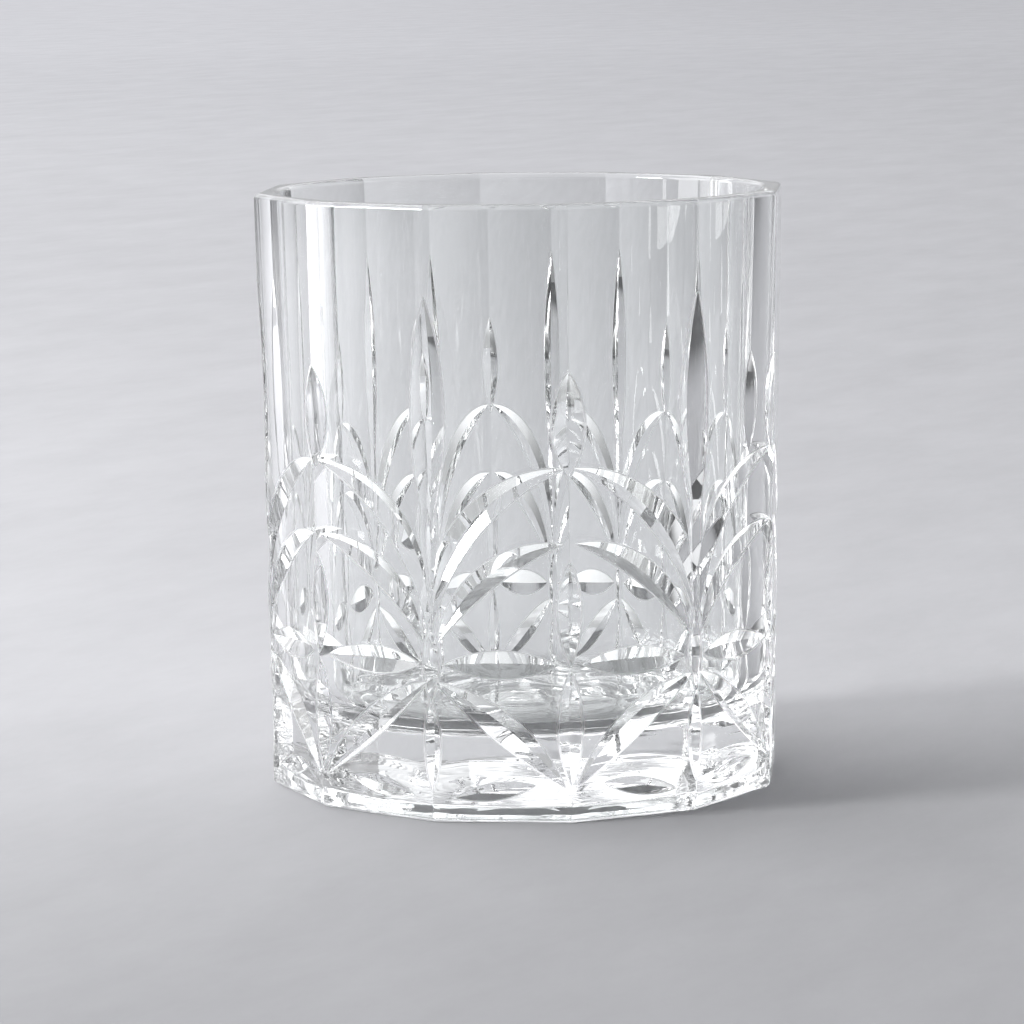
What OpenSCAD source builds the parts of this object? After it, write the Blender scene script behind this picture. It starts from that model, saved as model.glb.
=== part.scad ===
// Whiskey tumbler: a straight twelve-sided glass with a thick base, a round
// bowl and a cut pattern of palm fronds, leaves and buds. It is one piece of
// glass. Millimetres, +Z up, origin at the centre of the underside, and one
// palm corner points to -Y.

/* [Outside] */
// Height of the glass
height = 97.8; // [81:0.1:118]
// Radius to the corners at the rim
rim_corner_r = 44; // [38:0.1:53]
// Radius to the corners at the base
base_corner_r = 42.5; // [37:0.1:52]
// Bevel round the rim, inside and outside
lip_bevel = 0.8; // [0.4:0.05:1.1]
// Bevel round the bottom edge
heel_bevel = 0.7; // [0.3:0.05:1.2]

/* [Bowl] */
// Wall at the rim, measured at the middle of a flat side
rim_wall = 2.6; // [2:0.05:4]
// Wall at the bottom of the bowl, at the middle of a flat side
low_wall = 4; // [3:0.1:6]
// Thickness of the base under the bowl
base_thick = 12.5; // [9:0.1:18]
// Radius of the corner between the bowl's wall and its floor
bowl_fillet = 7; // [4:0.1:10]
// Width of the flat ring that the glass stands on
foot_ring = 10; // [6:0.1:14]
// Height of the hollow under the base
punt_depth = 1.3; // [0.8:0.05:2.2]
// Radius between the side of that hollow and its flat crown
punt_fillet = 0.4; // [0.2:0.05:0.6]
// Lean of the side of that hollow from upright
punt_lean = 20; // [10:1:35]

/* [Cut pattern] */
// Plain glass above the tips of the tall leaves
plain_top = 14; // [9:0.1:22]
// Plain band round the foot, below the lowest cuts
plain_foot = 4; // [3:0.1:7]
// Full angle of the cutting wheel's V-shaped edge, which sets how deep a cut of a given width goes
wheel_angle = 114; // [106:1:126]
// Width of the tall leaf on a palm corner
leaf_w = 5.8; // [4.5:0.1:7]
// Width of the bud on the corner between two palms
bud_w = 5.5; // [4:0.1:6.8]
// Width of the two long beads under a bud
bead_w = 4; // [3:0.1:5]
// Width of the narrow stem cuts
stem_w = 2.8; // [2:0.1:3.6]
// Width of the upper frond
high_frond_w = 4.5; // [3.2:0.1:5.5]
// How far the upper frond bows out of a straight line
high_frond_bow = 6.2; // [4.5:0.1:7]
// Width of the middle frond
mid_frond_w = 4; // [3:0.1:4.8]
// How far the middle frond bows out of a straight line
mid_frond_bow = 3.5; // [2.5:0.1:4.4]
// Width of the lower frond
low_frond_w = 4.6; // [3.4:0.1:5.5]
// How far the lower frond bows out of a straight line
low_frond_bow = 1.2; // [0.6:0.1:1.8]
// Width of the level leaf
level_leaf_w = 4.5; // [3.4:0.1:5.4]
// Width of the small leaf above the foot
foot_leaf_w = 2.8; // [2:0.1:3.4]

/* [Hidden] */
glass = [0.86, 0.9, 0.92, 0.45];
$fn = 96;
// Flat steps along each wheel cut
cut_steps = 12;

// Ends of the upright cuts, as shares of the pattern's height
tall_leaf = [0.52, 1];
high_stem = [0.3, 0.72];
short_stem = [0.19, 0.345];
low_stem = [0.01, 0.203];
bud = [0.64, 0.85];
high_bead = [0.265, 0.475];
low_bead = [0.025, 0.258];
// Ends of the cuts on a flat side. Each end is a share of the way across, from
// the palm corner to the bud corner, and a share of the pattern's height.
high_frond = [[0.012, 0.33], [0.985, 0.66]];
mid_frond = [[0.05, 0.308], [0.965, 0.51]];
level_leaf = [[0.09, 0.268], [0.91, 0.268]];
low_frond = [[0.02, 0.235], [0.965, 0.02]];
foot_leaf = [[0.16, 0], [0.75, 0.026]];

sides = 12;
half_side = 180 / sides;
pairs = sides / 2;
over = 2;
// A wheel swings a little past the tips of its cut
past_tip = 1.12;
// Radii to the middle of a flat side
rim_flat_r = rim_corner_r * cos(half_side);
base_flat_r = base_corner_r * cos(half_side);
// Lean of a flat side and of a corner from upright
flat_lean = atan((rim_flat_r - base_flat_r) / height);
corner_lean = atan((rim_corner_r - base_corner_r) / height);
// A cutting wheel runs this far off the corner's line, as on a hand-cut glass
drift = 0.02;
// Bowl radii where its wall meets the rim and the floor
bowl_rim_r = rim_flat_r - rim_wall;
bowl_low_r = base_flat_r - low_wall;
bowl_depth = height - base_thick;
bowl_lean = atan((bowl_rim_r - bowl_low_r) / bowl_depth);
fillet_r = bowl_low_r - bowl_fillet * (1 - sin(bowl_lean)) / cos(bowl_lean);
// Hollow under the base: radius at its mouth, and where its side meets the fillet
punt_r = base_flat_r - foot_ring;
punt_side_z = punt_depth - punt_fillet;
punt_fillet_z = punt_side_z + punt_fillet * sin(punt_lean);
punt_crown_r = punt_r - punt_fillet_z * tan(punt_lean) - punt_fillet * cos(punt_lean);

// The pattern spans the height between the two plain bands. Heights in it are
// shares of that span, from 0 at the foot band to 1 at the leaf tips.
span = height - plain_top - plain_foot;
function at(share) = plain_foot + share * span;
// Distance across a flat side at height z, as a share from a palm corner (0)
// to the next bud corner (1), measured from the middle of the flat side
function side_w(z) = 2 * sin(half_side)
    * (base_corner_r + (rim_corner_r - base_corner_r) * z / height);
function spot(end) = [(end[0] - 0.5) * side_w(at(end[1])), at(end[1])];
// Depth of a wheel cut of a given width, where the surface falls away by fall
// degrees on both sides of it
half_wheel = wheel_angle / 2;
function wheel_depth(width, fall) = width / 2 * (1 / tan(half_wheel) + tan(fall));

// Corners of one level of the blank, whose flat sides are flat_r from the middle
function level(flat_r, z) = [
    for (i = [0:sides - 1])
        let (turn = 2 * half_side * i - 90)
            [flat_r / cos(half_side) * cos(turn), flat_r / cos(half_side) * sin(turn), z]
];

// Outer shape: a tapered twelve-sided block with bevelled ends
module blank() {
    levels = [
        level(base_flat_r - heel_bevel, 0),
        level(base_flat_r, heel_bevel),
        level(rim_flat_r, height - lip_bevel),
        level(rim_flat_r - lip_bevel, height)
    ];
    last = len(levels) - 1;
    polyhedron(
        points = [for (ring = levels) each ring],
        faces = concat(
            [[for (i = [0:sides - 1]) i]],
            [[for (i = [sides - 1:-1:0]) last * sides + i]],
            [for (k = [0:last - 1], i = [0:sides - 1])
                let (j = (i + 1) % sides)
                    [k * sides + i, (k + 1) * sides + i, (k + 1) * sides + j, k * sides + j]]
        )
    );
}

// Inside of the bowl: a round taper with a filleted floor and a bevelled mouth
module bowl() {
    rotate_extrude() {
        polygon([
            [0, base_thick],
            [fillet_r, base_thick],
            [fillet_r + bowl_fillet * cos(bowl_lean),
                base_thick + bowl_fillet * (1 - sin(bowl_lean))],
            [bowl_rim_r - lip_bevel * tan(bowl_lean), height - lip_bevel],
            [bowl_rim_r + lip_bevel + over, height + over],
            [0, height + over]
        ]);
        translate([fillet_r, base_thick + bowl_fillet])
            circle(r = bowl_fillet);
    }
}

// Hollow under the base: a leaning side, a filleted corner and a flat crown
module punt() {
    rotate_extrude() {
        polygon([
            [0, -over],
            [punt_r + over * tan(punt_lean), -over],
            [punt_r - punt_fillet_z * tan(punt_lean), punt_fillet_z],
            [punt_crown_r, punt_depth],
            [0, punt_depth]
        ]);
        translate([punt_crown_r, punt_side_z])
            circle(r = punt_fillet);
    }
}

// A leaf cut by a wheel with a V-shaped edge. Its tips are reach apart from
// its middle on the surface z = 0, along y, and it is depth deep in the
// middle. Its line bows by bow towards +x. The wheel leans so that its edge
// leaves the glass at both tips.
module wheel_cut(reach, depth, bow) {
    lean = atan2(depth, bow);
    rise = sqrt(depth * depth + bow * bow);
    wheel_r = (reach * reach + rise * rise) / (2 * rise);
    swing = asin(reach / wheel_r) * past_tip;
    tall = depth + over;
    wide = tall * tan(half_wheel);
    translate([bow, 0, -depth])
        rotate([0, lean, 0])
            translate([-wheel_r, 0, 0])
                rotate([0, 0, -swing])
                    rotate_extrude(angle = 2 * swing, $fn = cut_steps * 180 / swing)
                        polygon([
                            [wheel_r, 0],
                            [wheel_r - tall * sin(lean) + wide * cos(lean),
                                tall * cos(lean) + wide * sin(lean)],
                            [wheel_r - tall * sin(lean) - wide * cos(lean),
                                tall * cos(lean) - wide * sin(lean)]
                        ]);
}

// Puts a cut on the flat side in front, between its two ends. A bow above
// zero curves the line to the left of the way from the first to the second.
module on_flat(ends, width, bow = 0) {
    a = spot(ends[0]);
    b = spot(ends[1]);
    d = b - a;
    mid = (a + b) / 2;
    translate([base_flat_r, 0, 0])
        rotate([0, flat_lean, 0])
            rotate([90, 0, 90])
                translate([mid[0], mid[1] / cos(flat_lean), 0])
                    rotate([0, 0, atan2(d[1], d[0]) - 90])
                        mirror([1, 0, 0])
                            wheel_cut(norm(d) / 2, wheel_depth(width, 0), bow);
}

// Puts an upright cut on the corner in front, between two levels
module on_corner(levels, width) {
    low = at(levels[0]);
    high = at(levels[1]);
    translate([base_corner_r, 0, 0])
        rotate([0, corner_lean, 0])
            rotate([90, 0, 90])
                translate([drift, (low + high) / 2, 0])
                    wheel_cut((high - low) / 2, wheel_depth(width, half_side), 0);
}

// Cuts on one flat side, from its palm corner towards its bud corner
module side_cuts() {
    on_flat(high_frond, high_frond_w, high_frond_bow);
    on_flat(mid_frond, mid_frond_w, mid_frond_bow);
    on_flat(level_leaf, level_leaf_w);
    on_flat(low_frond, low_frond_w, low_frond_bow);
    on_flat(foot_leaf, foot_leaf_w);
}

// Cuts on a corner where a palm stands
module palm_cuts() {
    on_corner(tall_leaf, leaf_w);
    on_corner(high_stem, stem_w);
    on_corner(short_stem, stem_w);
    on_corner(low_stem, stem_w);
}

// Cuts on a corner between two palms
module bud_cuts() {
    on_corner(bud, bud_w);
    on_corner(high_bead, bead_w);
    on_corner(low_bead, bead_w);
}

// All the cuts: the same set for each palm corner and the bud corner after it
module cuts() {
    for (i = [0:pairs - 1])
        rotate([0, 0, 4 * half_side * i - 90]) {
            palm_cuts();
            rotate([0, 0, 2 * half_side])
                bud_cuts();
            rotate([0, 0, half_side])
                side_cuts();
            mirror([0, 1, 0])
                rotate([0, 0, half_side])
                    side_cuts();
        }
}

// The outside with its pattern, as one cut surface of the full height
module cut_blank() {
    resize([0, 0, height])
        difference() {
            blank();
            cuts();
        }
}

module tumbler() {
    color(glass)
        difference() {
            cut_blank();
            bowl();
            punt();
        }
}

tumbler();
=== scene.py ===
"""Whiskey tumbler of clear crystal: a twelve-sided blank, a round bowl and a wheel-cut palm pattern."""

import bpy
import bmesh
import math
import numpy as np
from mathutils import Matrix, Vector


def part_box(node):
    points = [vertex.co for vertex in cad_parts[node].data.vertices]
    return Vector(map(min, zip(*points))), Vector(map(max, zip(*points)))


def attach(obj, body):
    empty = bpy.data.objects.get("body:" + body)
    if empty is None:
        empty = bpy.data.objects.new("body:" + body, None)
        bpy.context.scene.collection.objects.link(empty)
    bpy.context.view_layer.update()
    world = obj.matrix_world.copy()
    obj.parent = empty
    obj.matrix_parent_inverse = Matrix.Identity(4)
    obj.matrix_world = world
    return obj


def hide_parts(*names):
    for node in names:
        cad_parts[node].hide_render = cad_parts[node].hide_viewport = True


bl_info = {
    "name": "Cut crystal tumbler",
    "version": (1, 0, 0),
    "blender": (4, 5, 0),
    "location": "View3D > Sidebar > Tumbler",
    "description": "Builds a twelve-sided whiskey tumbler with a wheel-cut palm pattern",
    "category": "Object",
}

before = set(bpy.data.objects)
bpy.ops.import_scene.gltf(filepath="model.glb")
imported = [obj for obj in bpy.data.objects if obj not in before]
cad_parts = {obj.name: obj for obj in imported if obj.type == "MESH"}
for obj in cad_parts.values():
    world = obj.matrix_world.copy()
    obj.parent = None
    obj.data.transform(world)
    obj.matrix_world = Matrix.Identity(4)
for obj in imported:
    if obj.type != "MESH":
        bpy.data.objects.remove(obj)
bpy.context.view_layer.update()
NODE_LOW, NODE_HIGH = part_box("tumbler")

MM = 0.001
SIDES = 12
PALMS = SIDES // 2
HALF_SIDE = math.pi / SIDES
FULL_TURN = 2 * math.pi
PALM_TURN = -math.pi / 2
UP = Vector((0, 0, 1))
PIECE = "tumbler_glass"
GLASS = "clear_crystal"
ARRIS = "satin_arris"

# Lowest and highest point of each upright cut, as shares of the pattern's height
TALL_LEAF = (0.52, 1.0)
HIGH_STEM = (0.3, 0.72)
SHORT_STEM = (0.19, 0.345)
LOW_STEM = (0.01, 0.203)
BUD = (0.64, 0.85)
HIGH_BEAD = (0.265, 0.475)
LOW_BEAD = (0.025, 0.258)
# Both ends of each cut on a flat side. An end is a share of the way across, from the palm corner to
# the bud corner, and a share of the pattern's height.
HIGH_FROND = ((0.012, 0.33), (0.985, 0.66))
MID_FROND = ((0.05, 0.308), (0.965, 0.51))
LEVEL_LEAF = ((0.09, 0.268), (0.91, 0.268))
LOW_FROND = ((0.02, 0.235), (0.965, 0.02))
FOOT_LEAF = ((0.16, 0.0), (0.75, 0.026))


# ---------------------------------------------------------------- settings


class BlankSizes(bpy.types.PropertyGroup):
    """Sizes of the uncut glass"""

    height: bpy.props.FloatProperty(
        name="Height", description="Height of the glass", default=NODE_HIGH.z, unit="LENGTH", precision=4
    )
    rim_radius: bpy.props.FloatProperty(
        name="Rim radius",
        description="From the middle to a corner at the rim",
        default=-NODE_LOW.y,
        unit="LENGTH",
        precision=4,
    )
    base_radius: bpy.props.FloatProperty(
        name="Base radius",
        description="From the middle to a corner at the base",
        default=42.5 * MM,
        unit="LENGTH",
        precision=4,
    )
    corner_round: bpy.props.FloatProperty(
        name="Corner rounding",
        description="Radius of the polished upright corners",
        default=0.45 * MM,
        unit="LENGTH",
        precision=5,
    )
    lip_round: bpy.props.FloatProperty(
        name="Lip rounding",
        description="Radius of the fire-polished lip, inside and outside",
        default=0.85 * MM,
        unit="LENGTH",
        precision=5,
    )
    heel_round: bpy.props.FloatProperty(
        name="Heel rounding",
        description="Radius of the bottom edge",
        default=0.8 * MM,
        unit="LENGTH",
        precision=5,
    )


class BowlSizes(bpy.types.PropertyGroup):
    """Sizes of the inside and of the hollow underneath"""

    rim_wall: bpy.props.FloatProperty(
        name="Rim wall",
        description="Wall at the rim, at the middle of a flat side",
        default=2.6 * MM,
        unit="LENGTH",
        precision=4,
    )
    low_wall: bpy.props.FloatProperty(
        name="Low wall",
        description="Wall at the bottom of the bowl, at the middle of a flat side",
        default=4 * MM,
        unit="LENGTH",
        precision=4,
    )
    base_thick: bpy.props.FloatProperty(
        name="Base thickness",
        description="Solid glass under the bowl",
        default=12.5 * MM,
        unit="LENGTH",
        precision=4,
    )
    fillet: bpy.props.FloatProperty(
        name="Bowl fillet",
        description="Radius between the bowl's wall and its floor",
        default=7 * MM,
        unit="LENGTH",
        precision=4,
    )
    foot_ring: bpy.props.FloatProperty(
        name="Foot ring",
        description="Width of the flat ring that the glass stands on",
        default=10 * MM,
        unit="LENGTH",
        precision=4,
    )
    punt_depth: bpy.props.FloatProperty(
        name="Punt depth",
        description="Height of the hollow under the base",
        default=1.3 * MM,
        unit="LENGTH",
        precision=5,
    )
    punt_round: bpy.props.FloatProperty(
        name="Punt rounding",
        description="Radius between the hollow's side and its crown",
        default=0.4 * MM,
        unit="LENGTH",
        precision=5,
    )
    punt_lean: bpy.props.FloatProperty(
        name="Punt lean",
        description="Lean of the hollow's side from upright",
        default=math.radians(20),
        subtype="ANGLE",
        unit="ROTATION",
    )


class PatternSizes(bpy.types.PropertyGroup):
    """Sizes of the wheel-cut pattern"""

    plain_top: bpy.props.FloatProperty(
        name="Plain top",
        description="Uncut glass above the tall leaves",
        default=14 * MM,
        unit="LENGTH",
        precision=4,
    )
    plain_foot: bpy.props.FloatProperty(
        name="Plain foot",
        description="Uncut band under the lowest cuts",
        default=4 * MM,
        unit="LENGTH",
        precision=4,
    )
    wheel_angle: bpy.props.FloatProperty(
        name="Wheel angle",
        description="Full angle of the cutting wheel's edge",
        default=math.radians(114),
        subtype="ANGLE",
        unit="ROTATION",
    )
    polish: bpy.props.FloatProperty(
        name="Edge polish",
        description="Radius that polishing leaves on the cut edges",
        default=0.5 * MM,
        unit="LENGTH",
        precision=5,
    )
    leaf_width: bpy.props.FloatProperty(
        name="Tall leaf", description="Width of the tall leaf", default=5.8 * MM, unit="LENGTH", precision=4
    )
    stem_width: bpy.props.FloatProperty(
        name="Stem", description="Width of a palm's stem", default=2.8 * MM, unit="LENGTH", precision=4
    )
    bud_width: bpy.props.FloatProperty(
        name="Bud", description="Width of the bud between palms", default=5.5 * MM, unit="LENGTH", precision=4
    )
    bead_width: bpy.props.FloatProperty(
        name="Bead",
        description="Width of the two long beads under a bud",
        default=4 * MM,
        unit="LENGTH",
        precision=4,
    )
    high_frond: bpy.props.FloatProperty(
        name="High frond",
        description="Width of the highest frond",
        default=4.5 * MM,
        unit="LENGTH",
        precision=4,
    )
    high_frond_bow: bpy.props.FloatProperty(
        name="High frond bow",
        description="How far the highest frond bows out of a straight line",
        default=6.2 * MM,
        unit="LENGTH",
        precision=4,
    )
    mid_frond: bpy.props.FloatProperty(
        name="Middle frond",
        description="Width of the middle frond",
        default=4 * MM,
        unit="LENGTH",
        precision=4,
    )
    mid_frond_bow: bpy.props.FloatProperty(
        name="Middle frond bow",
        description="How far the middle frond bows out of a straight line",
        default=3.5 * MM,
        unit="LENGTH",
        precision=4,
    )
    level_leaf: bpy.props.FloatProperty(
        name="Level leaf", description="Width of the level leaf", default=4.5 * MM, unit="LENGTH", precision=4
    )
    low_frond: bpy.props.FloatProperty(
        name="Low frond",
        description="Width of the lowest frond",
        default=4.6 * MM,
        unit="LENGTH",
        precision=4,
    )
    low_frond_bow: bpy.props.FloatProperty(
        name="Low frond bow",
        description="How far the lowest frond bows out of a straight line",
        default=1.2 * MM,
        unit="LENGTH",
        precision=4,
    )
    foot_leaf: bpy.props.FloatProperty(
        name="Foot leaf",
        description="Width of the small leaf at the foot",
        default=2.8 * MM,
        unit="LENGTH",
        precision=4,
    )


class GlassLook(bpy.types.PropertyGroup):
    """Look of the crystal"""

    tint: bpy.props.FloatVectorProperty(
        name="Tint",
        description="Colour that the glass gives to light",
        default=(0.99, 1.0, 0.996),
        subtype="COLOR",
    )
    ior: bpy.props.FloatProperty(
        name="Index of refraction", description="How strongly the crystal bends light", default=1.53
    )
    arris_roughness: bpy.props.FloatProperty(
        name="Arris roughness", description="Roughness of the narrow satin edges of the cuts", default=0.3
    )
    wave: bpy.props.FloatProperty(
        name="Wave",
        description="Height of the faint waves in the polished surface",
        default=0.006 * MM,
        unit="LENGTH",
        precision=6,
    )
    base_ripple: bpy.props.FloatProperty(
        name="Base ripple",
        description="Height of the level ripples in and under the thick base",
        default=0.13 * MM,
        unit="LENGTH",
        precision=6,
    )
    base_top: bpy.props.FloatProperty(
        name="Base top",
        description="Height at which the level ripples fade out",
        default=24 * MM,
        unit="LENGTH",
        precision=4,
    )


class StageLook(bpy.types.PropertyGroup):
    """Look of the studio"""

    floor_colour: bpy.props.FloatVectorProperty(
        name="Floor", description="Colour of the floor", default=(0.44, 0.44, 0.455), subtype="COLOR"
    )
    key_power: bpy.props.FloatProperty(
        name="Side light", description="Power of the small light on the left", default=9.0, unit="POWER"
    )
    window_power: bpy.props.FloatProperty(
        name="Window", description="Power of the large soft light on the left", default=7.0, unit="POWER"
    )
    back_power: bpy.props.FloatProperty(
        name="Back light",
        description="Power of the light that brightens the floor behind",
        default=9.0,
        unit="POWER",
    )


# ---------------------------------------------------------------- geometry


def new_object(name, mesh):
    """A mesh object at the origin, in the scene's own collection"""
    made = bpy.data.objects.new(name, mesh)
    bpy.context.scene.collection.objects.link(made)
    return made


def loft(name, rings):
    """A closed skin through rings of points, each ring with as many points, in order"""
    points = [p for ring in rings for p in ring]
    count = len(rings[0])
    faces = []
    for k in range(len(rings) - 1):
        for i in range(count):
            j = (i + 1) % count
            faces.append((k * count + i, k * count + j, (k + 1) * count + j, (k + 1) * count + i))
    faces.append(tuple(reversed(range(count))))
    faces.append(tuple((len(rings) - 1) * count + i for i in range(count)))
    mesh = bpy.data.meshes.new(name)
    mesh.from_pydata([tuple(p) for p in points], [], faces)
    outwards(mesh)
    return new_object(name, mesh)


def outwards(mesh):
    """Turns every face of a closed mesh to point out of it"""
    work = bmesh.new()
    work.from_mesh(mesh)
    bmesh.ops.recalc_face_normals(work, faces=work.faces)
    if work.calc_volume(signed=True) < 0:
        bmesh.ops.reverse_faces(work, faces=work.faces)
    work.to_mesh(mesh)
    work.free()


def lathe(name, profile, steps):
    """A solid of revolution about Z. The profile starts and ends on the axis."""
    work = bmesh.new()
    turns = [FULL_TURN * i / steps for i in range(steps)]
    low = work.verts.new((0, 0, profile[0][1]))
    high = work.verts.new((0, 0, profile[-1][1]))
    rings = [
        [work.verts.new((r * math.cos(a), r * math.sin(a), z)) for a in turns] for r, z in profile[1:-1]
    ]
    for i in range(steps):
        j = (i + 1) % steps
        work.faces.new((low, rings[0][j], rings[0][i]))
        work.faces.new((high, rings[-1][i], rings[-1][j]))
        for lower, upper in zip(rings, rings[1:]):
            work.faces.new((lower[i], lower[j], upper[j], upper[i]))
    mesh = bpy.data.meshes.new(name)
    work.to_mesh(mesh)
    work.free()
    outwards(mesh)
    return new_object(name, mesh)


def arc(middle, radius, start, end, steps):
    """Points on an arc, from one angle to another"""
    turns = [start + (end - start) * k / steps for k in range(steps + 1)]
    return [(middle[0] + radius * math.cos(a), middle[1] + radius * math.sin(a)) for a in turns]


def twelve_sided(flat_radius, z, corner_round, steps=4):
    """One level of the blank: twelve flats joined by small round corners"""
    ring = []
    reach = (flat_radius - corner_round) / math.cos(HALF_SIDE)
    for i in range(SIDES):
        turn = PALM_TURN + 2 * HALF_SIDE * i
        middle = (reach * math.cos(turn), reach * math.sin(turn))
        ring += [(x, y, z) for x, y in arc(middle, corner_round, turn - HALF_SIDE, turn + HALF_SIDE, steps)]
    return ring


def flat_radius_at(blank, z):
    """From the axis to the middle of a flat side, at height z"""
    corner = blank.base_radius + (blank.rim_radius - blank.base_radius) * z / blank.height
    return corner * math.cos(HALF_SIDE)


def make_blank(blank):
    """The uncut outside, with a rounded heel and lip"""
    steps = 6
    heel = blank.heel_round
    lip = blank.lip_round
    base = flat_radius_at(blank, heel)
    rim = flat_radius_at(blank, blank.height - lip)
    profile = arc((base - heel, heel), heel, -math.pi / 2, 0, steps)
    profile += arc((rim - lip, blank.height - lip), lip, 0, math.pi / 2, steps)
    rings = [twelve_sided(r, z, blank.corner_round) for r, z in profile]
    return loft("blank", rings)


def bowl_profile(blank, bowl):
    """Outline of the bowl's inside, from the middle of its floor to above the mouth"""
    fillet_steps, lip_steps = 12, 6
    lip_turn = math.radians(80)
    over = 3 * MM
    low = flat_radius_at(blank, 0) - bowl.low_wall
    high = flat_radius_at(blank, blank.height) - bowl.rim_wall
    floor = bowl.base_thick
    lean = math.atan((high - low) / (blank.height - floor))
    middle = low - bowl.fillet * (1 - math.sin(lean)) / math.cos(lean)
    profile = [(0, floor), (middle * 0.5, floor)]
    profile += arc((middle, floor + bowl.fillet), bowl.fillet, -math.pi / 2, -lean, fillet_steps)
    lip = blank.lip_round
    for share in (0.25, 0.5, 0.75):
        z = floor + bowl.fillet + share * (blank.height - lip - floor - bowl.fillet)
        profile.append((low + (z - floor) * math.tan(lean), z))
    mouth = high - lip * math.tan(lean)
    rounded = arc((mouth + lip, blank.height - lip), lip, 0, lip_turn, lip_steps)
    profile += [(2 * (mouth + lip) - r, z) for r, z in rounded]
    outside = profile[-1][0] + over
    profile.append((outside, blank.height + over / math.tan(lip_turn)))
    profile.append((outside, blank.height + 2 * over))
    profile.append((0, blank.height + 2 * over))
    return profile


def punt_profile(blank, bowl):
    """Outline of the shallow hollow under the base: a steep side, a round corner and a flat crown"""
    radius = flat_radius_at(blank, 0) - bowl.foot_ring
    depth = bowl.punt_depth
    corner = bowl.punt_round
    lean = math.tan(bowl.punt_lean)
    below = 2 * MM
    corner_steps = 6
    side = radius - (depth - corner) * lean
    profile = [(0, -below), (radius + below * lean, -below), (radius, 0)]
    middle = (side - corner * math.cos(bowl.punt_lean), depth - corner)
    profile += arc(middle, corner, bowl.punt_lean, math.pi / 2, corner_steps)
    profile.append((radius * 0.5, depth))
    profile.append((0, depth))
    return profile


class Cutter:
    """A V-edged wheel that cuts one leaf, and how its edge meets the surface beside it

    stations: cross-sections along the cut
    round_steps: flats round each polished edge
    past_tip: share of its length that the wheel swings past each tip
    above, spread: how far the cutter stands clear of the surface, over it and beside it
    wall_share: most of a wall that polishing rounds away
    least_round: least length of a polished edge, at the tips
    """

    stations = 26
    round_steps = 4
    past_tip = 0.05
    above = 1.2 * MM
    spread = 0.5 * MM
    wall_share = 0.75
    least_round = 0.004 * MM

    def __init__(self, pattern, reach, width, fall, bow=0.0):
        self.fall = fall
        self.slope = math.pi / 2 - pattern.wheel_angle / 2
        self.depth = width / 2 * (math.tan(self.slope) + math.tan(fall))
        self.polish = pattern.polish
        rise = math.hypot(self.depth, bow)
        self.lean = math.atan2(self.depth, bow)
        self.radius = (reach * reach + rise * rise) / (2 * rise)
        self.bow = bow
        self.swing = math.asin(reach / self.radius)

    def spine(self, share):
        """Place along the cut, place across it, and depth of the valley, for share from -1 to 1"""
        turn = self.swing * share
        lift = self.radius * (1 - math.cos(turn))
        along = self.radius * math.sin(turn)
        across = self.bow - lift * math.cos(self.lean)
        return along, across, self.depth - lift * math.sin(self.lean)

    def section(self, depth):
        """Half of the cross-section, from the valley outwards, as (across, height)"""
        wall = (math.cos(self.slope), math.sin(self.slope))
        edge = max(depth, 0) / (math.tan(self.slope) + math.tan(self.fall))
        meet = (edge, edge * math.tan(self.slope) - depth)
        turn = self.slope + self.fall
        length = self.polish * math.tan(turn / 2)
        room = edge / math.cos(self.slope) * self.wall_share
        if room < length:
            length = max(room, self.least_round)
            edge = max(edge, length * wall[0])
            meet = (edge, edge * math.tan(self.slope) - depth)
        radius = length / math.tan(turn / 2)
        start = (meet[0] - length * wall[0], meet[1] - length * wall[1])
        middle = (start[0] + radius * math.sin(self.slope), start[1] - radius * math.cos(self.slope))
        points = [(0.0, -depth)]
        for k in range(self.round_steps + 1):
            a = self.slope - turn * k / self.round_steps
            points.append((middle[0] - radius * math.sin(a), middle[1] + radius * math.cos(a)))
        last = turn / self.round_steps / 2 - self.fall
        out = points[-1]
        points.append((out[0] + self.spread * math.cos(last), out[1] + self.spread * math.sin(last)))
        points.append((points[-1][0], self.above + max(-depth, 0)))
        return points

    def build(self, name, place):
        """The cutter's mesh. place turns (across, along, height) into a point in the frame."""
        rings = []
        small_step = 0.001
        for k in range(self.stations + 1):
            share = (2 * k / self.stations - 1) * (1 + self.past_tip)
            along, across, depth = self.spine(share)
            ahead = self.spine(share + small_step)
            tilt = math.atan2(ahead[1] - across, ahead[0] - along)
            half = self.section(depth)
            ring = [(-x, h) for x, h in reversed(half[1:])] + half
            rings.append(
                [place(across + x * math.cos(tilt), along - x * math.sin(tilt), h) for x, h in ring]
            )
        cutter = loft(name, rings)
        self.mark_arrises(cutter.data, len(rings[0]))
        return cutter

    def mark_arrises(self, mesh, count):
        """Marks the faces that polish the two edges. count is the number of points in a cross-section."""
        left = count // 2 - self.round_steps - 1
        right = count // 2 + 1
        strips = [start + step for start in (left, right) for step in range(self.round_steps)]
        marks = [i in strips for _ in range(self.stations) for i in range(count)]
        end_caps = [False, False]
        mesh.attributes.new(ARRIS, "BOOLEAN", "FACE").data.foreach_set("value", marks + end_caps)


def corner_place(blank, z_middle, turn):
    """Placing for a cut on an upright corner: across runs round the glass, height points out of it"""
    lean = math.atan((blank.rim_radius - blank.base_radius) / blank.height)
    out = Vector((math.cos(turn), math.sin(turn), 0))
    round_it = Vector((-math.sin(turn), math.cos(turn), 0))
    up = UP * math.cos(lean) + out * math.sin(lean)
    away = out * math.cos(lean) - UP * math.sin(lean)
    start = out * (blank.base_radius + z_middle * math.tan(lean)) + Vector((0, 0, z_middle))
    return lambda across, along, height: start + round_it * across + up * along + away * height


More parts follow.
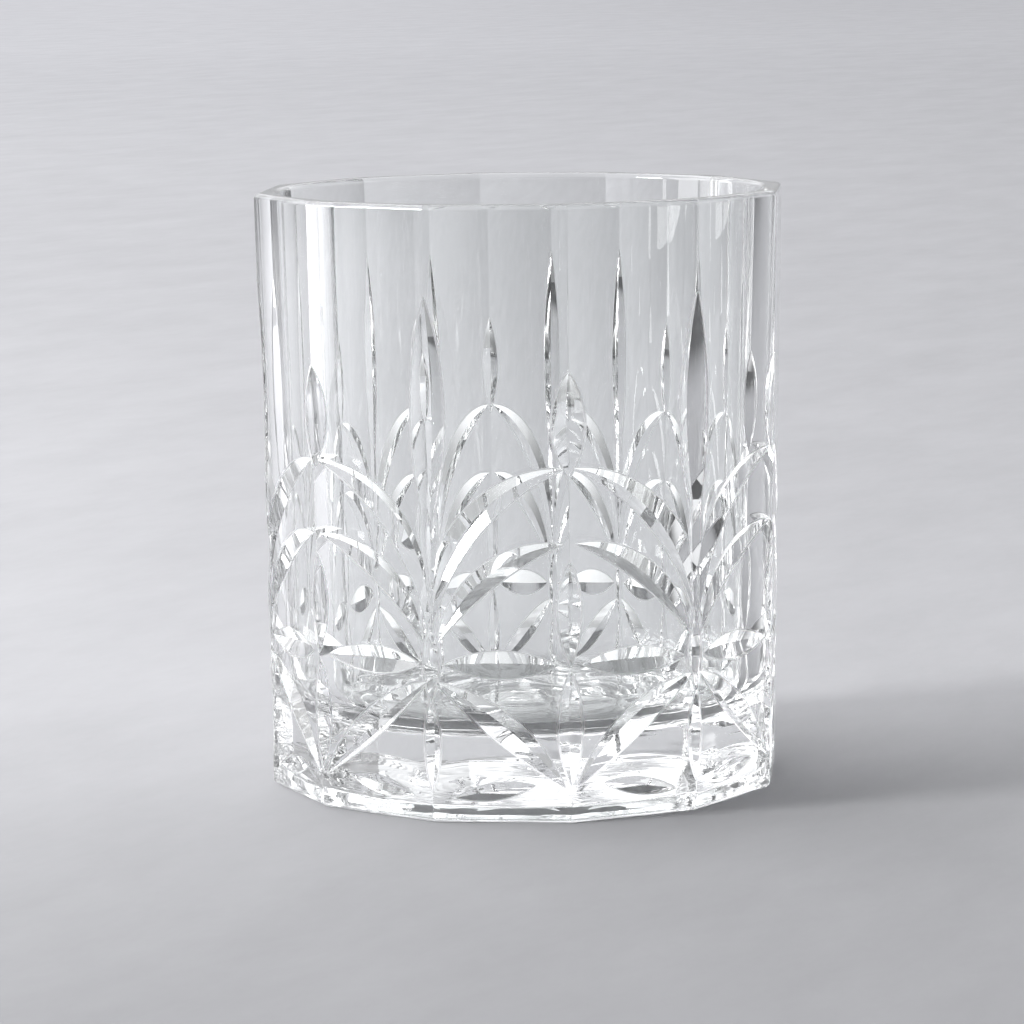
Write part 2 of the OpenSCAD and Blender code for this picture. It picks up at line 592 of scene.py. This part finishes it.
def side_place(blank, start, end, hand):
    """Reach of a cut on a flat side and the placing for it, between two spots given as
    (share across, z). hand is 1 on the side after the palm corner and -1 on its mirror image before it.
    """
    lean = math.atan((flat_radius_at(blank, blank.height) - flat_radius_at(blank, 0)) / blank.height)
    turn = PALM_TURN + hand * HALF_SIDE
    out = Vector((math.cos(turn), math.sin(turn), 0))
    round_it = Vector((-math.sin(turn), math.cos(turn), 0)) * hand
    up = UP * math.cos(lean) + out * math.sin(lean)
    away = out * math.cos(lean) - UP * math.sin(lean)

    def spot(share, z):
        flat = flat_radius_at(blank, z)
        return out * flat + round_it * (share - 0.5) * 2 * flat * math.tan(HALF_SIDE) + Vector((0, 0, z))

    first, last = spot(*start), spot(*end)
    middle = (first + last) / 2
    along_it = (last - first).normalized()
    left = away.cross(along_it) * hand
    reach = (last - first).length / 2
    return reach, lambda across, along, height: middle + left * across + along_it * along + away * height


# ---------------------------------------------------------------- cutting


def cutting_tree():
    """Geometry Nodes that cut one wheel cut, or one turned shape, out of the glass at even turns round it"""
    name = "Cut round the glass"
    if name in bpy.data.node_groups:
        return bpy.data.node_groups[name]
    tree = bpy.data.node_groups.new(name, "GeometryNodeTree")
    face = tree.interface
    face.new_socket("Glass", in_out="INPUT", socket_type="NodeSocketGeometry")
    face.new_socket("Cutter", in_out="INPUT", socket_type="NodeSocketObject")
    copies = face.new_socket("Copies", in_out="INPUT", socket_type="NodeSocketInt")
    copies.default_value = 1
    copies.min_value = 1
    face.new_socket("Material", in_out="INPUT", socket_type="NodeSocketMaterial")
    face.new_socket("Glass", in_out="OUTPUT", socket_type="NodeSocketGeometry")
    add = tree.nodes.new
    link = tree.links.new
    given = add("NodeGroupInput")
    cutter = add("GeometryNodeObjectInfo")
    link(given.outputs["Cutter"], cutter.inputs["Object"])
    spots = add("GeometryNodeMeshLine")
    spots.inputs["Offset"].default_value = (0, 0, 0)
    link(given.outputs["Copies"], spots.inputs["Count"])
    step = add("ShaderNodeMath")
    step.operation = "DIVIDE"
    step.inputs[0].default_value = FULL_TURN
    link(given.outputs["Copies"], step.inputs[1])
    number = add("GeometryNodeInputIndex")
    turn = add("ShaderNodeMath")
    turn.operation = "MULTIPLY"
    link(number.outputs["Index"], turn.inputs[0])
    link(step.outputs[0], turn.inputs[1])
    about_z = add("ShaderNodeCombineXYZ")
    link(turn.outputs[0], about_z.inputs["Z"])
    ring = add("GeometryNodeInstanceOnPoints")
    link(spots.outputs["Mesh"], ring.inputs["Points"])
    link(cutter.outputs["Geometry"], ring.inputs["Instance"])
    link(about_z.outputs["Vector"], ring.inputs["Rotation"])
    real = add("GeometryNodeRealizeInstances")
    link(ring.outputs["Instances"], real.inputs["Geometry"])
    cut = add("GeometryNodeMeshBoolean")
    cut.operation = "DIFFERENCE"
    cut.solver = "MANIFOLD"
    link(given.outputs["Glass"], cut.inputs["Mesh 1"])
    link(real.outputs["Geometry"], cut.inputs["Mesh 2"])
    whole = add("GeometryNodeRealizeInstances")
    link(cut.outputs["Mesh"], whole.inputs["Geometry"])
    skin = add("GeometryNodeSetMaterial")
    link(whole.outputs["Geometry"], skin.inputs["Geometry"])
    link(given.outputs["Material"], skin.inputs["Material"])
    result = add("NodeGroupOutput")
    link(skin.outputs["Geometry"], result.inputs["Glass"])
    return tree


def cut(glass, cutter, copies=1):
    """Adds one cutting step to the glass, with copies of the cutter evenly round it"""
    tree = cutting_tree()
    step = glass.modifiers.new(cutter.name, "NODES")
    step.node_group = tree
    values = {
        "Cutter": cutter,
        "Copies": copies,
        "Material": bpy.data.materials.get(GLASS),
    }
    for socket in tree.interface.items_tree:
        if socket.item_type == "SOCKET" and socket.in_out == "INPUT" and socket.name in values:
            step[socket.identifier] = values[socket.name]
    cutter.hide_render = True


def level_at(blank, pattern, share):
    """Height of a level of the pattern, from 0 at the foot band to 1 at the tips of the tall leaves"""
    return pattern.plain_foot + share * (blank.height - pattern.plain_top - pattern.plain_foot)


def cut_corner(glass, name, levels, width, between_palms=False):
    """Cuts an upright leaf on every palm corner, or on every corner between two palms"""
    scene = bpy.context.scene
    blank, pattern = scene.tumbler_blank, scene.tumbler_pattern
    z_low, z_high = (level_at(blank, pattern, level) for level in levels)
    wheel = Cutter(pattern, (z_high - z_low) / 2, width, HALF_SIDE)
    turn = PALM_TURN + (2 * HALF_SIDE if between_palms else 0)
    cutter = wheel.build(name, corner_place(blank, (z_low + z_high) / 2, turn))
    cut(glass, cutter, PALMS)


def cut_sides(glass, name, ends, width, bow=0.0):
    """Cuts a leaf on every flat side, between two ends as named at the top"""
    scene = bpy.context.scene
    blank, pattern = scene.tumbler_blank, scene.tumbler_pattern
    start, end = ((across, level_at(blank, pattern, level)) for across, level in ends)
    for hand, side in ((1, "right"), (-1, "left")):
        reach, place = side_place(blank, start, end, hand)
        wheel = Cutter(pattern, reach, width, 0.0, bow)
        cut(glass, wheel.build(f"{name}_{side}", place), PALMS)


# ---------------------------------------------------------------- finishing


def require_closed(mesh):
    """Stops the build if the cut glass came out empty or with a gap"""
    work = bmesh.new()
    work.from_mesh(mesh)
    sound = len(work.faces) > 0 and all(edge.is_manifold for edge in work.edges)
    work.free()
    if not sound:
        raise RuntimeError("The cut glass is empty or isn't closed")


def polished_normals(mesh, sharp_angle):
    """Gives each corner of each face its area-weighted normal, and keeps edges over sharp_angle crisp"""
    work = bmesh.new()
    work.from_mesh(mesh)
    work.faces.ensure_lookup_table()
    work.edges.ensure_lookup_table()
    for edge in work.edges:
        edge.smooth = len(edge.link_faces) == 2 and edge.calc_face_angle(math.pi) < sharp_angle
    area = [face.calc_area() for face in work.faces]
    normal = [np.array(face.normal) for face in work.faces]
    result = {}
    for vert in work.verts:
        group = {face.index: face.index for face in vert.link_faces}

        def root(index):
            while group[index] != index:
                index = group[index]
            return index

        for edge in vert.link_edges:
            if edge.smooth:
                a, b = (root(face.index) for face in edge.link_faces)
                group[a] = b
        total = {}
        for index in group:
            key = root(index)
            total[key] = total.get(key, 0) + area[index] * normal[index]
        for index in group:
            result[(index, vert.index)] = total[root(index)]
    work.to_mesh(mesh)
    work.free()
    mesh.polygons.foreach_set("use_smooth", [True] * len(mesh.polygons))
    loops = []
    for polygon in mesh.polygons:
        for vertex in polygon.vertices:
            value = result[(polygon.index, vertex)]
            size = np.linalg.norm(value)
            loops.append(tuple(value / size) if size > 0 else tuple(polygon.normal))
    mesh.normals_split_custom_set(loops)


def calc(tree, operation, *values):
    """Output of a Math node fed with numbers and sockets"""
    part = tree.nodes.new("ShaderNodeMath")
    part.operation = operation
    for socket, value in zip(part.inputs, values):
        if isinstance(value, (int, float)):
            socket.default_value = value
        else:
            tree.links.new(value, socket)
    return part.outputs[0]


def dot_with(tree, vector, direction):
    """How far a vector socket reaches along a direction"""
    part = tree.nodes.new("ShaderNodeVectorMath")
    part.operation = "DOT_PRODUCT"
    tree.links.new(vector, part.inputs[0])
    part.inputs[1].default_value = tuple(direction)
    return part.outputs["Value"]


def ramp(tree, value, reach, result, kind="SMOOTHSTEP"):
    """Turns a value within reach, (low, high), into one within result, (at low, at high)"""
    part = tree.nodes.new("ShaderNodeMapRange")
    part.interpolation_type = kind
    tree.links.new(value, part.inputs["Value"])
    for label, number in zip(("From Min", "From Max", "To Min", "To Max"), (*reach, *result)):
        part.inputs[label].default_value = number
    return part.outputs["Result"]


def ripple_group():
    """Normals of faint waves: even all over, and stronger level ripples in the thick base"""
    name = "Pressed ripples"
    if name in bpy.data.node_groups:
        return bpy.data.node_groups[name]
    wave_scale, wave_detail = 110, 1.0
    ripple_scale, ripple_detail = 45, 1.5
    # The level ripples are this many times closer together than they are long
    closeness = 9
    tree = bpy.data.node_groups.new(name, "ShaderNodeTree")
    face = tree.interface
    for label, start in (("Wave", 0.002 * MM), ("Base ripple", 0.01 * MM), ("Base top", 30 * MM)):
        socket = face.new_socket(label, in_out="INPUT", socket_type="NodeSocketFloat")
        socket.default_value = start
    face.new_socket("Normal", in_out="OUTPUT", socket_type="NodeSocketVector")
    node = tree.nodes.new
    link = tree.links.new
    given = node("NodeGroupInput")
    where = node("ShaderNodeTexCoord")
    split = node("ShaderNodeSeparateXYZ")
    link(where.outputs["Object"], split.inputs["Vector"])

    def noise(vector, scale, detail):
        part = node("ShaderNodeTexNoise")
        link(vector, part.inputs["Vector"])
        part.inputs["Scale"].default_value = scale
        part.inputs["Detail"].default_value = detail
        return calc(tree, "SUBTRACT", part.outputs["Fac"], 0.5)

    even = noise(where.outputs["Object"], wave_scale, wave_detail)
    wave = calc(tree, "MULTIPLY", even, given.outputs["Wave"])
    x, y, z = (split.outputs[axis] for axis in "XYZ")
    square = calc(tree, "ADD", calc(tree, "MULTIPLY", x, x), calc(tree, "MULTIPLY", y, y))
    climb = calc(tree, "ADD", z, calc(tree, "SQRT", square))
    rings = node("ShaderNodeCombineXYZ")
    link(x, rings.inputs["X"])
    link(y, rings.inputs["Y"])
    link(calc(tree, "MULTIPLY", climb, closeness), rings.inputs["Z"])
    near_base = calc(tree, "LESS_THAN", z, given.outputs["Base top"])
    fade = calc(tree, "SUBTRACT", 1.0, calc(tree, "DIVIDE", z, given.outputs["Base top"]))
    strength = calc(tree, "MULTIPLY", near_base, calc(tree, "SQRT", calc(tree, "MAXIMUM", fade, 0.0)))
    level = noise(rings.outputs["Vector"], ripple_scale, ripple_detail)
    level = calc(tree, "MULTIPLY", level, given.outputs["Base ripple"])
    bump = node("ShaderNodeBump")
    bump.inputs["Strength"].default_value = 1
    bump.inputs["Distance"].default_value = 1
    link(calc(tree, "ADD", wave, calc(tree, "MULTIPLY", level, strength)), bump.inputs["Height"])
    result = node("NodeGroupOutput")
    link(bump.outputs["Normal"], result.inputs["Normal"])
    return tree


def crystal_material(look, name, roughness):
    """Clear, colourless crystal with a faintly rippled surface, polished or left satin by the wheel"""
    made = bpy.data.materials.new(name)
    made.use_nodes = True
    tree = made.node_tree
    shader = tree.nodes["Principled BSDF"]
    shader.inputs["Base Color"].default_value = (*look.tint, 1)
    shader.inputs["Metallic"].default_value = 0
    shader.inputs["Roughness"].default_value = roughness
    shader.inputs["IOR"].default_value = look.ior
    shader.inputs["Transmission Weight"].default_value = 1
    ripples = tree.nodes.new("ShaderNodeGroup")
    ripples.node_tree = ripple_group()
    ripples.inputs["Wave"].default_value = look.wave
    ripples.inputs["Base ripple"].default_value = look.base_ripple
    ripples.inputs["Base top"].default_value = look.base_top
    tree.links.new(ripples.outputs["Normal"], shader.inputs["Normal"])
    return made


# ---------------------------------------------------------------- operators


class TUMBLER_OT_blank(bpy.types.Operator):
    """Makes the two crystal materials and the uncut twelve-sided blank"""

    bl_idname = "tumbler.blank"
    bl_label = "Blank"

    def execute(self, context):
        scene = context.scene
        look = scene.tumbler_look
        crystal_material(look, GLASS, 0)
        crystal_material(look, ARRIS, look.arris_roughness)
        glass = make_blank(scene.tumbler_blank)
        glass.name = PIECE
        return {"FINISHED"}


class TUMBLER_OT_palms(bpy.types.Operator):
    """Cuts the palms: a tall leaf and stems on every other corner, with fronds on both sides"""

    bl_idname = "tumbler.palms"
    bl_label = "Palms"

    def execute(self, context):
        glass = bpy.data.objects[PIECE]
        pattern = context.scene.tumbler_pattern
        cut_corner(glass, "tall_leaf", TALL_LEAF, pattern.leaf_width)
        cut_corner(glass, "high_stem", HIGH_STEM, pattern.stem_width)
        cut_corner(glass, "short_stem", SHORT_STEM, pattern.stem_width)
        cut_corner(glass, "low_stem", LOW_STEM, pattern.stem_width)
        cut_sides(glass, "high_frond", HIGH_FROND, pattern.high_frond, pattern.high_frond_bow)
        cut_sides(glass, "mid_frond", MID_FROND, pattern.mid_frond, pattern.mid_frond_bow)
        cut_sides(glass, "level_leaf", LEVEL_LEAF, pattern.level_leaf)
        cut_sides(glass, "low_frond", LOW_FROND, pattern.low_frond, pattern.low_frond_bow)
        cut_sides(glass, "foot_leaf", FOOT_LEAF, pattern.foot_leaf)
        return {"FINISHED"}


class TUMBLER_OT_buds(bpy.types.Operator):
    """Cuts a bud and two long beads on the corners between the palms"""

    bl_idname = "tumbler.buds"
    bl_label = "Buds"

    def execute(self, context):
        glass = bpy.data.objects[PIECE]
        pattern = context.scene.tumbler_pattern
        cut_corner(glass, "bud", BUD, pattern.bud_width, between_palms=True)
        cut_corner(glass, "high_bead", HIGH_BEAD, pattern.bead_width, between_palms=True)
        cut_corner(glass, "low_bead", LOW_BEAD, pattern.bead_width, between_palms=True)
        return {"FINISHED"}


class TUMBLER_OT_bowl(bpy.types.Operator):
    """Turns the bowl and the hollow under the base out of the glass"""

    bl_idname = "tumbler.bowl"
    bl_label = "Bowl"

    def execute(self, context):
        scene = context.scene
        glass = bpy.data.objects[PIECE]
        bowl_steps, punt_steps = 192, 144
        cut(glass, lathe("bowl", bowl_profile(scene.tumbler_blank, scene.tumbler_bowl), bowl_steps))
        cut(glass, lathe("punt", punt_profile(scene.tumbler_blank, scene.tumbler_bowl), punt_steps))
        return {"FINISHED"}


class TUMBLER_OT_polish(bpy.types.Operator):
    """Makes the cut glass one plain mesh, polishes its normals and puts it in the frame"""

    bl_idname = "tumbler.polish"
    bl_label = "Polish"

    def execute(self, context):
        raw = bpy.data.objects[PIECE]
        cutters = [step.name for step in raw.modifiers]
        graph = context.evaluated_depsgraph_get()
        mesh = bpy.data.meshes.new_from_object(raw.evaluated_get(graph))
        require_closed(mesh)
        mesh.name = PIECE
        raw.modifiers.clear()
        raw.data = mesh
        for name in cutters:
            bpy.data.objects.remove(bpy.data.objects[name])
        mesh.materials.clear()
        mesh.materials.append(bpy.data.materials[GLASS])
        mesh.materials.append(bpy.data.materials[ARRIS])
        marks = mesh.attributes[ARRIS]
        mesh.polygons.foreach_set("material_index", [int(mark.value) for mark in marks.data])
        mesh.attributes.remove(marks)
        polished_normals(mesh, sharp_angle=math.radians(22))
        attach(raw, "root")
        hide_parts("tumbler")
        return {"FINISHED"}


class TUMBLER_OT_stage(bpy.types.Operator):
    """Lays the floor, hangs the lights and sets up the camera"""

    bl_idname = "tumbler.stage"
    bl_label = "Stage"

    def execute(self, context):
        build_stage(context.scene)
        return {"FINISHED"}


# ---------------------------------------------------------------- stage


def area_light(name, place, aim, size, power):
    """A rectangular soft light that the camera doesn't see directly"""
    data = bpy.data.lights.new(name, "AREA")
    data.shape = "RECTANGLE"
    data.size, data.size_y = size
    data.energy = power
    lamp = bpy.data.objects.new(name, data)
    bpy.context.scene.collection.objects.link(lamp)
    lamp.location = place
    lamp.rotation_euler = (Vector(aim) - Vector(place)).to_track_quat("-Z", "Y").to_euler()
    lamp.visible_camera = False


def paper_material(look, right, ahead):
    """Pale paper with a soft mottle, and painted light and shade in its colour: painted shade at the front of
    the glass, painted light towards the back and on the left, and painted shade, almost black, beyond the lit
    table on the right and far in front
    """
    paper = bpy.data.materials.new("floor_paper")
    paper.use_nodes = True
    tree = paper.node_tree
    node = tree.nodes.new
    link = tree.links.new
    where = node("ShaderNodeTexCoord").outputs["Object"]
    # Each ramp goes from a stretch of floor, in metres from the glass, to shares of the floor's colour; these
    # shares are painted light and shade
    depth = dot_with(tree, where, ahead)
    # painted shade: darker towards the front of the glass
    painted_front_shade = ramp(tree, depth, (-0.25, 0.14), (0.65, 0.99))
    # painted light: lighter further back, where the lamps light the floor less
    far = ramp(tree, depth, (0.3, 4.0), (1.0, 1.5), "LINEAR")
    # painted light: lighter on the left, darker on the right
    side = ramp(tree, dot_with(tree, where, right), (-0.7, 0.7), (1.18, 0.94))
    # painted shade: almost black on the right, beyond the lit table
    widening = 0.165
    painted_shade_right = ramp(tree, dot_with(tree, where, right - ahead * widening), (0.36, 0.8), (1.0, 0.12))
    # painted shade: almost black a stretch in front of the glass
    painted_shade_front = ramp(tree, depth, (-0.8, -0.3), (0.12, 1.0))
    turned = node("ShaderNodeMapping")
    link(where, turned.inputs["Vector"])
    turned.inputs["Rotation"].default_value = (0, 0, -math.atan2(right.y, right.x))
    turned.inputs["Scale"].default_value = (30, 12, 1)
    cloud = node("ShaderNodeTexNoise")
    cloud.inputs["Detail"].default_value = 8
    cloud.inputs["Roughness"].default_value = 0.72
    cloud.inputs["Scale"].default_value = 1
    link(turned.outputs["Vector"], cloud.inputs["Vector"])
    mottle_and_painted_light = ramp(tree, cloud.outputs["Fac"], (0.3, 0.7), (0.94, 1.06), "LINEAR")
    # the mottle, times all the painted light and shade
    for share in (painted_front_shade, far, side, painted_shade_right, painted_shade_front):
        mottle_and_painted_light = calc(tree, "MULTIPLY", mottle_and_painted_light, share)
    colour = node("ShaderNodeVectorMath")
    colour.operation = "SCALE"
    colour.inputs[0].default_value = tuple(look.floor_colour)
    link(mottle_and_painted_light, colour.inputs["Scale"])
    shader = tree.nodes["Principled BSDF"]
    link(colour.outputs["Vector"], shader.inputs["Base Color"])
    shader.inputs["Roughness"].default_value = 0.9
    shader.inputs["Specular IOR Level"].default_value = 0.2
    return paper


def shade_world(tree, right, ahead):
    """A room round the table: bright on the left and above, dim on the right and low down"""
    where = tree.nodes.new("ShaderNodeTexCoord").outputs["Generated"]
    # Each ramp goes from a stretch of the way along a direction, -1 to 1, to strengths of light
    height = dot_with(tree, where, UP)
    window_side = ramp(tree, dot_with(tree, where, ahead * 0.62 - right * 0.78), (-0.6, 0.9), (0.1, 1.15))
    low_room = ramp(tree, height, (0.06, 0.3), (0.5, 1.6))
    high_room = ramp(tree, height, (0.6, 0.95), (1.0, 0.9))
    room = calc(tree, "MULTIPLY", calc(tree, "MULTIPLY", window_side, low_room), high_room)
    pale_wall = right * 0.95 + ahead * 0.1 + UP * 0.3
    opposite = ramp(tree, dot_with(tree, where, pale_wall), (0.9, 0.97), (0.0, 0.9))
    sky = tree.nodes["Background"]
    sky.inputs["Color"].default_value = (0.97, 0.975, 1.0, 1)
    tree.links.new(calc(tree, "ADD", room, opposite), sky.inputs["Strength"])


def lay_floor(look, right, ahead):
    """A wide floor, a hair under the foot so that the glass keeps air below it"""
    air_gap = 0.06 * MM
    half_width, front, back = 6, -6, 15
    outline = [(-half_width, front), (half_width, front), (half_width, back), (-half_width, back)]
    corners = [right * x + ahead * y - UP * air_gap for x, y in outline]
    mesh = bpy.data.meshes.new("floor")
    mesh.from_pydata([tuple(c) for c in corners], [], [tuple(range(len(corners)))])
    mesh.materials.append(paper_material(look, right, ahead))
    floor = new_object("floor", mesh)


def hang_lights(look, right, ahead):
    """A small and a large light on the left, and one over the floor behind"""
    side = right * -0.9 - ahead * 0.33 + UP * 0.42
    area_light("side_light", side, UP * 0.05, (0.2, 0.34), look.key_power)
    window = right * -0.95 + ahead * 0.25 + UP * 0.33
    area_light("window", window, UP * 0.1, (0.8, 0.62), look.window_power)
    behind = right * -0.9 + ahead * 1.4 + UP * 1.5
    area_light("back_light", behind, right * -0.6 + ahead * 1.4, (1.2, 1.2), look.back_power)


def place_camera(scene, right, ahead):
    """A long lens that looks a little down on the glass"""
    pitch, roll = math.radians(7.87), math.radians(0.68)
    data = bpy.data.cameras.new("camera")
    data.lens = 153.25
    data.sensor_width = 36
    camera = bpy.data.objects.new("camera", data)
    scene.collection.objects.link(camera)
    forward = ahead * math.cos(pitch) - UP * math.sin(pitch)
    over = ahead * math.sin(pitch) + UP * math.cos(pitch)
    x_axis = right * math.cos(roll) - over * math.sin(roll)
    y_axis = right * math.sin(roll) + over * math.cos(roll)
    matrix = Matrix((x_axis, y_axis, -forward)).transposed().to_4x4()
    matrix.translation = right * -0.00197 - ahead * 0.717 + UP * 0.1431
    camera.matrix_world = matrix
    scene.camera = camera


def build_stage(scene):
    """Pale floor, soft lights, plain world and the camera"""
    look = scene.tumbler_stage
    view_turn = math.radians(20.66)
    right = Vector((math.cos(view_turn), math.sin(view_turn), 0))
    ahead = Vector((-math.sin(view_turn), math.cos(view_turn), 0))
    lay_floor(look, right, ahead)
    world = bpy.data.worlds.new("studio")
    world.use_nodes = True
    shade_world(world.node_tree, right, ahead)
    scene.world = world
    hang_lights(look, right, ahead)
    place_camera(scene, right, ahead)
    scene.view_settings.view_transform = "Standard"
    scene.cycles.max_bounces = 32
    scene.cycles.transmission_bounces = 32
    scene.cycles.glossy_bounces = 16


class TUMBLER_PT_panel(bpy.types.Panel):
    """Lists the steps that build the tumbler"""

    bl_idname = "TUMBLER_PT_panel"
    bl_label = "Tumbler"
    bl_space_type = "VIEW_3D"
    bl_region_type = "UI"
    bl_category = "Tumbler"

    def draw(self, context):
        for operator in OPERATORS:
            self.layout.operator(operator.bl_idname)


SETTINGS = {
    "tumbler_blank": BlankSizes,
    "tumbler_bowl": BowlSizes,
    "tumbler_pattern": PatternSizes,
    "tumbler_look": GlassLook,
    "tumbler_stage": StageLook,
}
OPERATORS = (
    TUMBLER_OT_blank,
    TUMBLER_OT_palms,
    TUMBLER_OT_buds,
    TUMBLER_OT_bowl,
    TUMBLER_OT_polish,
    TUMBLER_OT_stage,
)


def register():
    for name, group in SETTINGS.items():
        bpy.utils.register_class(group)
        setattr(bpy.types.Scene, name, bpy.props.PointerProperty(type=group))
    for operator in OPERATORS:
        bpy.utils.register_class(operator)
    bpy.utils.register_class(TUMBLER_PT_panel)


def unregister():
    bpy.utils.unregister_class(TUMBLER_PT_panel)
    for operator in reversed(OPERATORS):
        bpy.utils.unregister_class(operator)
    for name, group in reversed(SETTINGS.items()):
        delattr(bpy.types.Scene, name)
        bpy.utils.unregister_class(group)


def main():
    register()
    bpy.ops.tumbler.blank()
    bpy.ops.tumbler.palms()
    bpy.ops.tumbler.buds()
    bpy.ops.tumbler.bowl()
    bpy.ops.tumbler.polish()
    bpy.ops.tumbler.stage()


if __name__ == "__main__":
    main()
